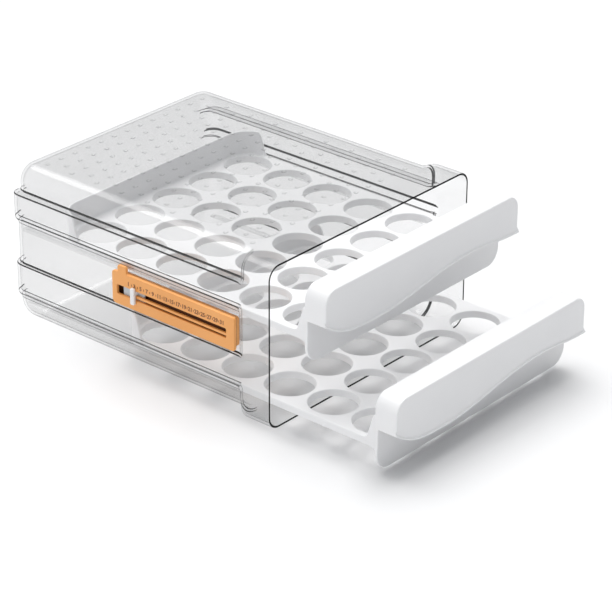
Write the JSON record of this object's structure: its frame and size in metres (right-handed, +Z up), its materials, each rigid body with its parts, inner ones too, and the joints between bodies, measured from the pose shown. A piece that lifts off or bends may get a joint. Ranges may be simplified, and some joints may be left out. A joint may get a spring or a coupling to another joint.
{
  "type": "egg holder tray",
  "caption": "Two-tier clear case with sliding white egg drawers, wavy pull handles and a clip-in date scale with a slider, for eggs in a refrigerator.",
  "frame": {"origin": "centre of the case's footprint on the surface that it stands on", "axes": "+X to the right seen from the front, -Y out of the mouth in the direction the drawers open, +Z up"},
  "size_m": [0.2558, 0.422, 0.146],
  "materials": {
    "clear_case": "clear polished polystyrene",
    "drawer_white": "satin moulded white",
    "scale_orange": "satin moulded orange",
    "slider_white": "gloss white",
    "slider_grey": "satin pale grey"
  },
  "bodies": {
    "case": {"case_shell": "clear_case", "case_rails": "clear_case", "date_scale": "scale_orange"},
    "upper_drawer": {"upper_deck": "drawer_white", "upper_pads": "drawer_white", "upper_long_ribs": "drawer_white", "upper_cross_ribs": "drawer_white", "upper_frame": "drawer_white", "upper_front": "drawer_white"},
    "lower_drawer": {"lower_deck": "drawer_white", "lower_pads": "drawer_white", "lower_long_ribs": "drawer_white", "lower_cross_ribs": "drawer_white", "lower_frame": "drawer_white", "lower_front": "drawer_white"},
    "date_slider": {"slider_knob": "slider_white", "slider_shoe": "slider_grey"}
  },
  "joints": [
    {"name": "upper_drawer_slide", "type": "slide", "parent": "case", "child": "upper_drawer", "axis": [0, -1, 0], "range_m": [-0.0445, 0.1555]},
    {"name": "lower_drawer_slide", "type": "slide", "parent": "case", "child": "lower_drawer", "axis": [0, -1, 0], "range_m": [-0.1165, 0.0835]},
    {"name": "date_slider_slide", "type": "slide", "parent": "case", "child": "date_slider", "axis": [0, -1, 0], "range_m": [-0.0065, 0.0975]}
  ]
}
